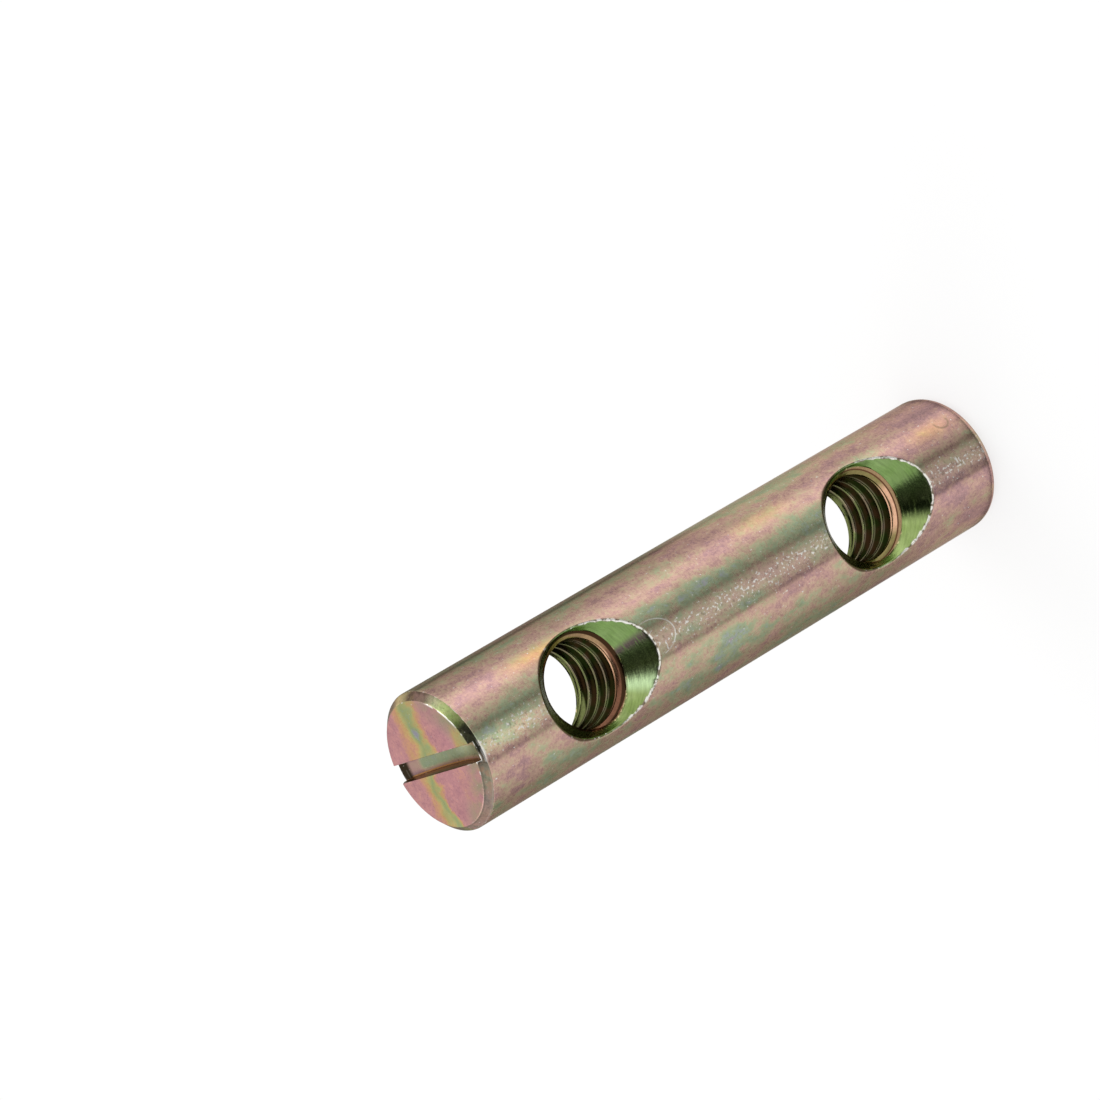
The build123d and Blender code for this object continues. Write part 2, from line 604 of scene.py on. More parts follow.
class Finish:
    """One finish, wired step by step from the place on the dowel.

    x, y, z and sizes are in millimetres. The azimuth is in degrees, from -Y towards +X.
    """

    def __init__(self, name):
        self.material = bpy.data.materials.new(name)
        self.material.use_nodes = True
        self.tree = self.material.node_tree
        self.shader = self.tree.nodes["Principled BSDF"]
        coordinates = self.tree.nodes.new("ShaderNodeTexCoord")
        self.place = self.mapped(coordinates.outputs["Object"], (1000, 1000, 1000))
        split = self.tree.nodes.new("ShaderNodeSeparateXYZ")
        self.tree.links.new(self.place, split.inputs[0])
        self.x, self.y, self.z = split.outputs
        turn = self.math("ARCTAN2", self.x, self.times(self.y, -1.0))
        self.azimuth = self.times(turn, 180 / math.pi)

    def turned(self, azimuth=None):
        """The azimuth as a share of the way round, for a ramp: 0.5 is -Y."""
        azimuth = self.azimuth if azimuth is None else azimuth
        return self.plus(self.math("DIVIDE", azimuth, 360), 0.5)

    def feed(self, socket, value):
        if isinstance(value, bpy.types.NodeSocket):
            self.tree.links.new(value, socket)
        elif hasattr(value, "__len__") and len(value) == 3 and len(socket.default_value) == 4:
            socket.default_value = (*value, 1)
        else:
            socket.default_value = value

    def math(self, operation, *values):
        node = self.tree.nodes.new("ShaderNodeMath")
        node.operation = operation
        for socket, value in zip(node.inputs, values):
            self.feed(socket, value)
        return node.outputs[0]

    def times(self, first, second):
        return self.math("MULTIPLY", first, second)

    def plus(self, first, second):
        return self.math("ADD", first, second)

    def minus(self, first, second):
        return self.math("SUBTRACT", first, second)

    def mapped(self, vector, scale, shift=(0, 0, 0)):
        node = self.tree.nodes.new("ShaderNodeMapping")
        node.inputs["Scale"].default_value = scale
        node.inputs["Location"].default_value = shift
        self.tree.links.new(vector, node.inputs["Vector"])
        return node.outputs[0]

    def noise(self, size, stretch=(1, 1, 1), detail=2.0, roughness=0.5, shift=(0, 0, 0)):
        """Soft noise whose blotches are about this many millimetres across."""
        scale = [1 / (size * s) for s in stretch]
        node = self.tree.nodes.new("ShaderNodeTexNoise")
        node.inputs["Scale"].default_value = 1.0
        node.inputs["Detail"].default_value = detail
        node.inputs["Roughness"].default_value = roughness
        self.tree.links.new(self.mapped(self.place, scale, shift), node.inputs["Vector"])
        return node.outputs[0]

    def cells(self, size, stretch=(1, 1, 1)):
        """Distance from the middles of small cells, as in metal that was tumbled."""
        node = self.tree.nodes.new("ShaderNodeTexVoronoi")
        node.inputs["Scale"].default_value = 1.0
        scale = [1 / (size * s) for s in stretch]
        self.tree.links.new(self.mapped(self.place, scale), node.inputs["Vector"])
        return node.outputs["Distance"]

    def step(self, value, low, high):
        """Runs smoothly from 0 at low to 1 at high."""
        node = self.tree.nodes.new("ShaderNodeMapRange")
        node.interpolation_type = "SMOOTHSTEP"
        self.feed(node.inputs["Value"], value)
        node.inputs["From Min"].default_value = low
        node.inputs["From Max"].default_value = high
        return node.outputs[0]

    def band(self, value, middle, half_width):
        """1 in the middle, and smoothly down to 0 at half a width from it."""
        away = self.math("ABSOLUTE", self.minus(value, middle))
        return self.minus(1.0, self.step(away, 0.0, half_width))

    def spot(self, azimuth, half_angle, height, half_height):
        """A soft oval patch on the dowel's side."""
        across = self.band(self.azimuth, azimuth, half_angle)
        return self.times(across, self.band(self.z, height, half_height))

    def ring(self, along, centre, height, radius, half_width):
        """A thin circle on the dowel's side."""
        across = self.minus(along, centre)
        up = self.minus(self.z, height)
        return self.band(self.length(across, up), radius, half_width)

    def length(self, across, up):
        squares = self.plus(self.times(across, across), self.times(up, up))
        return self.math("SQRT", squares)

    def total(self, *terms):
        """Sum of values that each have a weight."""
        result = 0.0
        for value, weight in terms:
            result = self.plus(result, self.times(value, weight))
        return result

    def ramp(self, value, stops):
        node = self.tree.nodes.new("ShaderNodeValToRGB")
        ramp = node.color_ramp
        while len(ramp.elements) < len(stops):
            ramp.elements.new(1.0)
        for element, (place, colour) in zip(ramp.elements, stops):
            element.position = place
            element.color = (*colour, 1)
        self.feed(node.inputs[0], value)
        return node.outputs[0]

    def mix(self, share, first, second, blend_type="MIX"):
        node = self.tree.nodes.new("ShaderNodeMix")
        node.data_type = "RGBA"
        node.blend_type = blend_type
        self.feed(node.inputs[0], share)
        self.feed(node.inputs[6], first)
        self.feed(node.inputs[7], second)
        return node.outputs[2]

    def shaded(self, colour, amount):
        """The colour times a brightness."""
        node = self.tree.nodes.new("ShaderNodeVectorMath")
        node.operation = "SCALE"
        self.tree.links.new(colour, node.inputs[0])
        self.feed(node.inputs["Scale"], amount)
        return node.outputs[0]

    def attribute(self, name):
        node = self.tree.nodes.new("ShaderNodeAttribute")
        node.attribute_name = name
        return node.outputs["Fac"]

    def bump(self, height, depth, under=None):
        """Relief that is this many millimetres deep."""
        node = self.tree.nodes.new("ShaderNodeBump")
        node.inputs["Distance"].default_value = depth * MM
        node.inputs["Strength"].default_value = 1.0
        self.tree.links.new(height, node.inputs["Height"])
        if under is not None:
            self.tree.links.new(under, node.inputs["Normal"])
        return node.outputs[0]

    def metal(self, colour, roughness, normal, edge_tint):
        self.tree.links.new(colour, self.shader.inputs["Base Color"])
        self.feed(self.shader.inputs["Roughness"], roughness)
        self.tree.links.new(normal, self.shader.inputs["Normal"])
        self.shader.inputs["Metallic"].default_value = 1.0
        self.shader.inputs["Specular Tint"].default_value = (*edge_tint, 1)
        return self.material


# colours of the chromate film from thin to thick
film_colours = (
    (0.00, (0.45, 0.28, 0.28)),     # mauve
    (0.14, (0.50, 0.30, 0.30)),     # rose
    (0.28, (0.58, 0.36, 0.31)),     # pink
    (0.40, (0.61, 0.42, 0.32)),     # copper
    (0.50, (0.57, 0.46, 0.31)),     # gold
    (0.60, (0.49, 0.48, 0.31)),     # yellow-green
    (0.70, (0.39, 0.46, 0.28)),     # green
    (0.80, (0.39, 0.45, 0.35)),     # grey-green
    (0.90, (0.38, 0.41, 0.41)),     # blue-grey
    (1.00, (0.46, 0.34, 0.35)),     # mauve again
)
end_film_colours = (
    (0.00, (0.38, 0.30, 0.28)),     # grey-mauve
    (0.14, (0.52, 0.27, 0.30)),     # rose
    (0.28, (0.60, 0.32, 0.31)),     # pink
    (0.40, (0.64, 0.37, 0.22)),     # copper
    (0.50, (0.58, 0.44, 0.18)),     # gold
    (0.60, (0.46, 0.47, 0.20)),     # yellow-green
    (0.70, (0.33, 0.42, 0.19)),     # green
    (0.80, (0.33, 0.38, 0.33)),     # grey-green
    (0.90, (0.30, 0.31, 0.38)),     # blue-grey
    (1.00, (0.44, 0.30, 0.34)),     # mauve again
)
# pale bare zinc, for scratches and wear and also for painted highlights and glints
bare_zinc_and_highlight = (0.86, 0.84, 0.78)
# dark brown for painted shade on edges and in the bore's shadow line
painted_edge_shade = (0.10, 0.07, 0.04)


def side_finish():
    """Chromated zinc on the round side: long film patches, tumbled dents and a rubbed strip, with
    painted sheen, light patches, glints and dark lines.
    """
    paint = Finish("plated_side")
    patches = paint.noise(3.0, (1, 1, 2.6), detail=2.0, shift=(3.1, 0.4, 2.2))
    streaks = paint.noise(0.9, (1, 1, 1.5), detail=3.0, roughness=0.65)
    grain = paint.noise(0.28, detail=3.0, roughness=0.7)
    flecks = paint.noise(1.7, (1, 1, 1.8), detail=2.0, shift=(6, 2, 1))
    lower_side = paint.step(paint.azimuth, -14, -26)
    lower_side = paint.times(lower_side, paint.step(paint.azimuth, -95, -70))
    patch_share, streak_share, grain_share = 0.8, 0.8, 0.5
    across = paint.ramp(paint.turned(), (
        (0.00, (0.45,) * 3),
        (0.30, (0.50,) * 3),
        (0.37, (0.46,) * 3),
        (0.42, (0.42,) * 3),
        (0.46, (0.36,) * 3),
        (0.49, (0.46,) * 3),
        (0.53, (0.55,) * 3),
        (0.57, (0.52,) * 3),
        (0.605, (0.28,) * 3),
        (0.635, (0.36,) * 3),
        (0.66, (0.34,) * 3),
        (0.70, (0.50,) * 3),
        (1.00, (0.45,) * 3),
    ))
    film = paint.total(
        (across, 1.0),
        (patches, patch_share),
        (streaks, streak_share),
        (grain, grain_share),
        (paint.times(paint.minus(flecks, 0.5), lower_side), 0.9),
        (paint.step(paint.z, 20, 6), -0.16),
        (paint.spot(36, 18, 5, 5), 0.10),
        (paint.spot(44, 16, 14, 5), 0.26),
        (paint.spot(44, 16, 28, 6), 0.12),
        (paint.spot(22, 12, 34, 20), 0.20),
        (paint.spot(5, 12, 31, 7), -0.16),
        (paint.spot(-8, 9, 35, 3.5), 0.30),
        (paint.spot(-32, 22, 39, 10), 0.34),
        (paint.spot(-28, 9, 38, 3.5), 0.14),
        (paint.spot(-22, 7, 33, 3), -0.20),
        (paint.spot(-46, 10, 43, 7), 0.06),
        (paint.spot(-9, 7, 42, 5), -0.10),
        (paint.spot(20, 20, 55, 16), 0.04),
        (paint.spot(44, 14, 58, 7), 0.22),
        (paint.spot(3, 14, 65, 8), 0.05),
        (paint.spot(-44, 28, 66, 9), -0.10),
    )
    film = paint.minus(film, 0.5 * (patch_share + streak_share + grain_share))
    colour = paint.ramp(film, film_colours)
    # painted sheen: brighter pink and gold patches along the side at 36 to 46 degrees
    painted_sheen = paint.total(
        (paint.spot(42, 12, 58, 6), 1.0),
        (paint.spot(36, 14, 5, 5), 0.7),
        (paint.spot(46, 12, 28, 6), 0.5),
    )
    colour = paint.mix(painted_sheen, colour, paint.mix(streaks, (0.72, 0.28, 0.26), (0.78, 0.62, 0.20)))
    cloud = paint.noise(0.9, (1, 1, 1.6), detail=3.0, roughness=0.65, shift=(7, 7, 7))
    # brightness: random cloud and grain, painted light on two patches at the slotted end, and a little
    # brighter at the very plain end
    colour = paint.shaded(colour, paint.total(
        (cloud, 0.5),
        (grain, 0.7),
        (1.0, 0.40),
        (paint.spot(0, 15, 66, 8), 0.42),
        (paint.spot(43, 14, 66, 8), 0.22),
        (paint.step(paint.z, 1.5, 0.3), 0.10),
    ))

    # the rubbed strip is greyer and rougher than the rest; darker lines are painted along both its
    # sides, and a painted dark reflection line along the upper flank
    wobble = paint.plus(paint.azimuth, paint.total((cloud, 5.0), (-2.5, 1.0)))
    flank_dark_reflection = paint.times(paint.band(paint.azimuth, 79, 5), paint.step(paint.z, 26, 40))
    painted_dark_lines = paint.total(
        (paint.band(wobble, -11.5, 3.5), 0.26),
        (paint.band(wobble, 14.5, 4.5), 0.22),
        (flank_dark_reflection, 0.45),
    )
    greyed = paint.times(paint.band(paint.azimuth, 1.5, 16), paint.step(paint.z, 66, 57))
    colour = paint.mix(paint.times(greyed, 0.35), colour, (0.42, 0.38, 0.30))
    colour = paint.shaded(colour, paint.minus(1.0, painted_dark_lines))
    strip = paint.band(paint.azimuth, 1, 17)
    # pale specks of bare zinc, denser in the strip, which also stand in for glints from tumbled dents
    zinc_glint_specks = paint.noise(0.27, (1, 1, 1.2), detail=1.0, shift=(5, 1, 9))
    glint_share = paint.step(paint.plus(zinc_glint_specks, paint.times(strip, 0.15)), 0.70, 0.82)
    colour = paint.mix(paint.times(glint_share, 0.95), colour, bare_zinc_and_highlight)
    pits = paint.noise(0.34, detail=2.0, shift=(2, 8, 4))
    pit_share = paint.step(paint.plus(pits, paint.times(strip, 0.14)), 0.70, 0.84)
    colour = paint.mix(paint.times(pit_share, 0.5), colour, (0.20, 0.16, 0.11))
    lip = paint.times(paint.band(paint.azimuth, -2, 10), paint.step(paint.z, 69.05, 69.2))
    colour = paint.mix(lip, colour, bare_zinc_and_highlight)

    # scratches: an arc beside the second hole, and a nick and a crescent near the plain end
    along = paint.times(paint.azimuth, math.radians(1) * dowel_radius / MM)
    arc = paint.ring(paint.times(along, 1.49), 0.92, 46.90, 2.65, 0.13)
    arc = paint.times(arc, paint.step(paint.total((paint.z, 1.0), (along, -0.35)), 47.0, 46.5))
    arc = paint.times(arc, paint.step(streaks, 0.25, 0.60))
    nick = paint.times(paint.band(along, 0.45, 0.5), paint.band(paint.z, 4.69, 0.16))
    marks = paint.math("MINIMUM", paint.total((arc, 1.0), (nick, 1.6)), 1.0)
    colour = paint.mix(marks, colour, bare_zinc_and_highlight)
    crescent = paint.times(paint.ring(along, 4.72, 3.25, 0.85, 0.2), paint.step(along, 5.0, 4.6))
    colour = paint.mix(paint.times(crescent, 0.55), colour, (0.20, 0.17, 0.10))
    colour = rim_wear_and_light(paint, colour)

    rough = paint.total((grain, 0.18), (streaks, 0.12), (0.14, 1.0))
    dents = paint.cells(0.55, (1, 1, 1.3))
    relief = paint.total((grain, 0.5), (dents, 0.5))
    depth = paint.total((strip, 0.9), (1.0, 0.35))
    normal = paint.bump(paint.times(relief, depth), 0.016)
    return paint.metal(colour, rough, normal, (0.66, 0.60, 0.52))


def rim_wear_and_light(paint, colour):
    """Rims of the mouths: beads of bare metal with a painted highlight towards the plain end, and
    painted shade on the edge break elsewhere.
    """
    wear = paint.step(paint.attribute("edge_wear"), 0.42, 0.78)
    burr = paint.attribute("burr")
    glint_beads = paint.noise(0.45, detail=2.0, shift=(1, 2, 3))
    # bright beads are bare metal and painted highlight; the gaps between them are painted shade
    bright = paint.step(paint.plus(glint_beads, paint.times(burr, 0.36)), 0.62, 0.80)
    gaps = paint.mix(burr, painted_edge_shade, (0.22, 0.18, 0.13))
    worn = paint.mix(bright, gaps, bare_zinc_and_highlight)
    return paint.mix(wear, colour, worn)


def end_finish():
    """Chromated zinc on the end faces and in the slot: rose with bands of gold and green."""
    paint = Finish("plated_end")
    warp = paint.noise(2.6, detail=2.0, roughness=0.5)
    grain = paint.noise(0.28, detail=3.0, roughness=0.65)
    wander = paint.noise(0.9, detail=3.0, roughness=0.6, shift=(4, 4, 4))
    across = paint.total((paint.y, 1.0), (warp, 3.4), (wander, 0.9), (-2.15, 1.0))
    across = paint.math("DIVIDE", paint.plus(across, 7.0), 14.0)
    left = paint.ramp(across, (
        (0.00, (0.40,) * 3),
        (0.12, (0.24,) * 3),
        (0.30, (0.30,) * 3),
        (0.38, (0.20,) * 3),
        (0.52, (0.24,) * 3),
        (0.57, (0.58,) * 3),
        (0.61, (0.68,) * 3),
        (0.66, (0.56,) * 3),
        (0.70, (0.40,) * 3),
        (0.76, (0.24,) * 3),
        (1.00, (0.26,) * 3),
    ))
    right = paint.ramp(across, (
        (0.00, (0.66,) * 3),
        (0.14, (0.50,) * 3),
        (0.26, (0.16,) * 3),
        (0.38, (0.24,) * 3),
        (0.44, (0.44,) * 3),
        (0.50, (0.62,) * 3),
        (0.55, (0.70,) * 3),
        (0.60, (0.58,) * 3),
        (0.65, (0.43,) * 3),
        (0.69, (0.35,) * 3),
        (0.73, (0.22,) * 3),
        (1.00, (0.24,) * 3),
    ))
    film = paint.mix(paint.step(paint.x, -0.5, 0.5), left, right)
    blue_spot = paint.times(paint.band(paint.x, 3.2, 1.3), paint.band(paint.y, 0.7, 1.4))
    film = paint.total((film, 1.0), (grain, 0.26), (wander, 0.30), (blue_spot, 0.16), (-0.28, 1.0))
    colour = paint.ramp(film, end_film_colours)
    colour = paint.mix(1.0, colour, (0.86, 0.80, 0.82), "MULTIPLY")
    colour = paint.shaded(colour, paint.total((grain, 0.4), (warp, 0.3), (wander, 0.3), (0.5, 1.0)))

    # greyer towards the edge on the screws' side
    outward = paint.length(paint.x, paint.y)
    near_rim = paint.times(paint.step(outward, 3.6, 6.2), paint.step(paint.y, 0.5, -3.5))
    cloud = paint.total((warp, 1.0), (wander, 0.5))
    near_rim = paint.times(near_rim, paint.step(cloud, 0.50, 0.95))
    colour = paint.mix(near_rim, colour, (0.30, 0.27, 0.18))

    # the slot: green along one side of its floor, rose towards +Y, brown walls painted dark as shade,
    # the floor painted lighter towards its open -Y end and painted black at its far +Y end
    slot_film = paint.total(
        (paint.step(paint.x, -0.80, -0.25), 0.40),
        (wander, 0.3),
        (0.16, 1.0),
        (paint.step(paint.y, 4.2, 5.0), -0.40),
        (paint.step(paint.x, 0.40, 0.75), -0.24),
    )
    # painted light: the slot's floor is brighter towards its open -Y end
    slot_painted_light = paint.total((1.0, 0.66), (paint.step(paint.y, -0.5, -4.5), 0.75))
    slot_colour = paint.shaded(paint.ramp(slot_film, film_colours), slot_painted_light)
    slot_colour = paint.mix(paint.band(paint.x, -0.79, 0.09), slot_colour, (0.62, 0.33, 0.10))
    # painted shade: black at the slot's far +Y end
    slot_colour = paint.mix(paint.step(paint.y, 5.7, 6.2), slot_colour, (0.035, 0.025, 0.015))
    below = paint.step(paint.z, dowel_length / MM - 0.04, dowel_length / MM - 0.10)
    wall = paint.step(paint.math("ABSOLUTE", paint.x), 0.84, 0.89)
    # the walls in dark brown, their chromate colour painted darker as shade
    slot_colour = paint.mix(wall, slot_colour, (0.18, 0.09, 0.035))
    narrow = paint.math("LESS_THAN", paint.math("ABSOLUTE", paint.x), 0.93)
    sawn = paint.times(narrow, paint.step(paint.y, -6.60, -6.40))
    colour = paint.mix(paint.times(sawn, below), colour, slot_colour)

    # the edge break round the slotted end changes its tone along the way: partly its film, partly
    # painted light and dark reflections
    edge_film_and_reflection = paint.ramp(paint.turned(), (
        (0.00, (0.24, 0.18, 0.16)),
        (0.12, (0.20, 0.14, 0.13)),
        (0.25, (0.26, 0.22, 0.19)),
        (0.33, (0.29, 0.19, 0.15)),
        (0.38, (0.28, 0.22, 0.19)),
        (0.42, (0.28, 0.27, 0.18)),
        (0.465, (0.28, 0.25, 0.19)),
        (0.482, (0.34, 0.28, 0.20)),
        (0.50, (0.10, 0.10, 0.07)),
        (0.56, (0.05, 0.05, 0.03)),
        (0.585, (0.18, 0.25, 0.07)),
        (0.62, (0.42, 0.50, 0.20)),
        (0.65, (0.34, 0.36, 0.20)),
        (0.68, (0.14, 0.10, 0.07)),
        (0.73, (0.12, 0.08, 0.06)),
        (0.78, (0.70, 0.56, 0.30)),
        (0.81, (0.34, 0.26, 0.18)),
        (0.90, (0.42, 0.38, 0.34)),
        (1.00, (0.24, 0.18, 0.16)),
    ))
    edge_film_and_reflection = paint.shaded(edge_film_and_reflection, paint.total((grain, 0.9), (wander, 0.7), (0.12, 1.0)))
    blotch = paint.total((paint.step(paint.azimuth, 0, -12), 0.45), (0.30, 1.0))
    blotch = paint.times(paint.step(wander, 0.40, 0.56), blotch)
    edge_film_and_reflection = paint.mix(blotch, edge_film_and_reflection, paint.shaded(colour, 0.8))
    on_edge = paint.times(paint.step(outward, 6.27, 6.33), paint.step(paint.z, 60, 69))
    on_edge = paint.times(on_edge, paint.minus(1.0, sawn))
    colour = paint.mix(on_edge, colour, edge_film_and_reflection)
    # painted highlights: bright lines along the edge break, with burr dots that catch the light
    outer_highlight = paint.times(paint.band(paint.azimuth, -2, 12), paint.step(outward, 6.82, 6.90))
    inner_highlight = paint.times(paint.band(paint.azimuth, 44, 24), paint.band(outward, 6.24, 0.10))
    burr_glint_dots = paint.times(paint.band(paint.azimuth, -6, 4), paint.band(outward, 6.62, 0.16))
    low_highlight = paint.times(paint.step(paint.azimuth, -10, -16), paint.band(outward, 6.90, 0.08))
    lines = paint.total((outer_highlight, 2.5), (inner_highlight, 2.0), (burr_glint_dots, 2.5), (low_highlight, 0.1))
    lines = paint.times(lines, paint.step(wander, 0.34, 0.46))
    lines = paint.math("MINIMUM", lines, 1.0)
    colour = paint.mix(paint.times(lines, paint.step(paint.z, 60, 69)), colour, bare_zinc_and_highlight)

    # a darker thin line on the edge break at negative azimuths
    dark_edge_line = paint.times(paint.step(paint.azimuth, -6, -12), paint.band(outward, 6.40, 0.10))
    dark_edge_line = paint.times(dark_edge_line, paint.step(paint.z, 60, 69))
    colour = paint.mix(paint.times(dark_edge_line, 0.55), colour, (0.12, 0.10, 0.08))
    # pale specks of bare zinc, which also stand in for glints
    zinc_glint_specks = paint.step(paint.noise(0.20, detail=1.0, shift=(5, 1, 9)), 0.72, 0.84)
    colour = paint.mix(zinc_glint_specks, colour, bare_zinc_and_highlight)
    wear = paint.step(paint.attribute("edge_wear"), 0.26, 0.38)
    rub_place = paint.total(
        (paint.band(paint.azimuth, 38, 26), 0.16),
        (paint.band(paint.azimuth, -3, 12), 0.22),
    )
    rub_noise = paint.noise(0.9, detail=2.0, shift=(9, 2, 6))
    rubbed = paint.step(paint.plus(rub_noise, rub_place), 0.58, 0.70)
    colour = paint.mix(paint.times(wear, rubbed), colour, bare_zinc_and_highlight)
    lathe = paint.noise(0.30, (1, 1, 1), detail=3.0, roughness=0.6)
    normal = paint.bump(lathe, 0.008)
    rough = paint.total((grain, 0.2), (0.2, 1.0))
    return paint.metal(colour, rough, normal, (0.75, 0.68, 0.6))


def bore_finish():
    """Countersinks in bright green film with cutter marks and painted light and shade, a coppery first
    turn painted bright where light falls in, and grooves painted dark as shade.
    """
    paint = Finish("plated_bore")
    depth = paint.math("ABSOLUTE", paint.y)
    soft = paint.noise(1.4, detail=2.0)
    grain = paint.noise(0.25, detail=3.0, roughness=0.6)
    ridges = paint.noise(0.16, (9, 1, 9), detail=2.0, roughness=0.6)
    side = paint.step(paint.minus(paint.x, soft), 0.4, -1.6)
    low_axis, high_axis = (height / MM for height in hole_heights)
    first_hole = paint.step(paint.z, 40, 30)
    second_hole = paint.minus(1.0, first_hole)
    # the green is lighter and yellower towards -X: partly the film's tone, partly painted light on
    # that side
    green = paint.mix(soft, (0.14, 0.25, 0.06), (0.26, 0.37, 0.15))
    lime = paint.mix(soft, (0.15, 0.24, 0.04), (0.42, 0.52, 0.22))
    cone = paint.mix(side, green, lime)
    # painted shade: dark streaks along the cutter's ridges below each hole's axis, placed by the share
    # of the way round from straight below the hole
    axis_height = paint.plus(paint.times(first_hole, low_axis - high_axis), high_axis)
    round_from_below = paint.math("DIVIDE", paint.x, paint.minus(axis_height, paint.z))
    in_first = paint.times(paint.band(round_from_below, -0.30, 0.34), first_hole)
    in_second = paint.times(paint.band(round_from_below, 0.20, 0.16), second_hole)
    below_axis = paint.math("LESS_THAN", paint.z, axis_height)
    ridge_shade = paint.times(paint.plus(in_first, in_second), below_axis)
    ridge_shade = paint.times(ridge_shade, paint.step(ridges, 0.30, 0.50))
    ridge_shade_colour = paint.mix(first_hole, (0.13, 0.10, 0.09), (0.03, 0.045, 0.015))
    cone = paint.mix(ridge_shade, cone, ridge_shade_colour)
    # painted light: a pale green band low in the second countersink
    painted_lit_band = paint.times(paint.band(round_from_below, -0.50, 0.34), below_axis)
    painted_lit_band = paint.times(painted_lit_band, second_hole)
    cone = paint.mix(painted_lit_band, cone, (0.58, 0.78, 0.42))
    # painted shade on the -X side of the second countersink
    painted_shade_side = paint.times(paint.step(paint.x, -3.6, -5.4), second_hole)
    cone = paint.mix(paint.times(painted_shade_side, 0.6), cone, (0.12, 0.15, 0.05))
    cone = paint.shaded(cone, paint.total((ridges, 0.8), (0.6, 1.0)))

    # inside: pale crests, grooves painted near black as shade, and the first turn in copper on the
    # screws' side, painted bright where light falls in through the mouth
    cut = paint.attribute("cut_depth")
    tint = paint.step(soft, 0.35, 0.65)
    crest = paint.mix(tint, (0.13, 0.16, 0.06), (0.18, 0.14, 0.10))
    groove_shade = paint.mix(tint, (0.010, 0.016, 0.003), (0.030, 0.015, 0.006))
    thread = paint.mix(paint.step(cut, 0.0, 0.22), crest, groove_shade)
    moss = paint.mix(grain, (0.10, 0.12, 0.04), (0.24, 0.27, 0.10))
    copper = paint.mix(grain, (0.56, 0.30, 0.18), (1.0, 0.62, 0.42))
    bronze = paint.mix(grain, (0.11, 0.05, 0.03), (0.28, 0.13, 0.075))
    olive = paint.mix(grain, (0.16, 0.14, 0.05), (0.36, 0.29, 0.12))
    tan = paint.mix(grain, (0.26, 0.15, 0.08), (0.46, 0.32, 0.17))
    upper = paint.step(paint.x, 1.0, 2.8)
    from_axis = paint.length(paint.x, paint.minus(paint.z, axis_height))
    lit_first_turn = paint.times(paint.step(paint.x, 2.2, 0.8), paint.step(paint.x, -3.4, -2.2))
    first_turn = paint.mix(lit_first_turn, olive, copper)
    # painted shade: a dark line where the first turn meets the countersink
    first_turn = paint.mix(paint.step(from_axis, 4.58, 4.64), first_turn, (0.12, 0.05, 0.025))
    first_turn = paint.mix(paint.step(from_axis, 4.70, 4.76), first_turn, tan)
    second_line = paint.mix(paint.step(paint.x, -1.8, 0.2), bronze, copper)
    second_turn = paint.mix(paint.step(from_axis, 4.30, 4.42), second_line, bronze)
    second_turn = paint.mix(upper, second_turn, tan)
    # painted shade: a dark line at the second turn's outer edge
    second_turn = paint.mix(paint.step(from_axis, 4.56, 4.64), second_turn, (0.05, 0.025, 0.012))
    turn = paint.mix(first_hole, second_turn, first_turn)
    turn = paint.mix(paint.step(paint.y, -1.0, 1.0), turn, moss)
    # the first turn starts at the thread's last crest, whose depth grows with x
    past_crest = paint.total((depth, 1.0), (paint.x, -0.085), (first_hole, -0.19), (-3.08, 1.0))
    inner = paint.mix(paint.step(past_crest, -0.24, -0.14), thread, turn)
    colour = paint.mix(paint.step(depth, 4.10, 4.2), inner, cone)
    shadow_line = paint.band(depth, 4.22, 0.10)
    colour = paint.mix(paint.times(shadow_line, 0.5), colour, painted_edge_shade)
    # painted glints: bright beads along the countersink's inner edge
    glint_beads = paint.step(paint.noise(0.35, detail=2.0, shift=(3, 0, 5)), 0.52, 0.66)
    edge = paint.times(paint.band(depth, 4.19, 0.12), glint_beads)
    colour = paint.mix(edge, colour, (0.80, 0.66, 0.36))
    colour = rim_wear_and_light(paint, colour)
    normal = paint.bump(ridges, 0.010)
    normal = paint.bump(grain, 0.006, normal)
    rough = paint.total((grain, 0.16), (0.10, 1.0))
    return paint.metal(colour, rough, normal, (0.8, 0.75, 0.6))


# ---------------------------------------------------------------- dowel

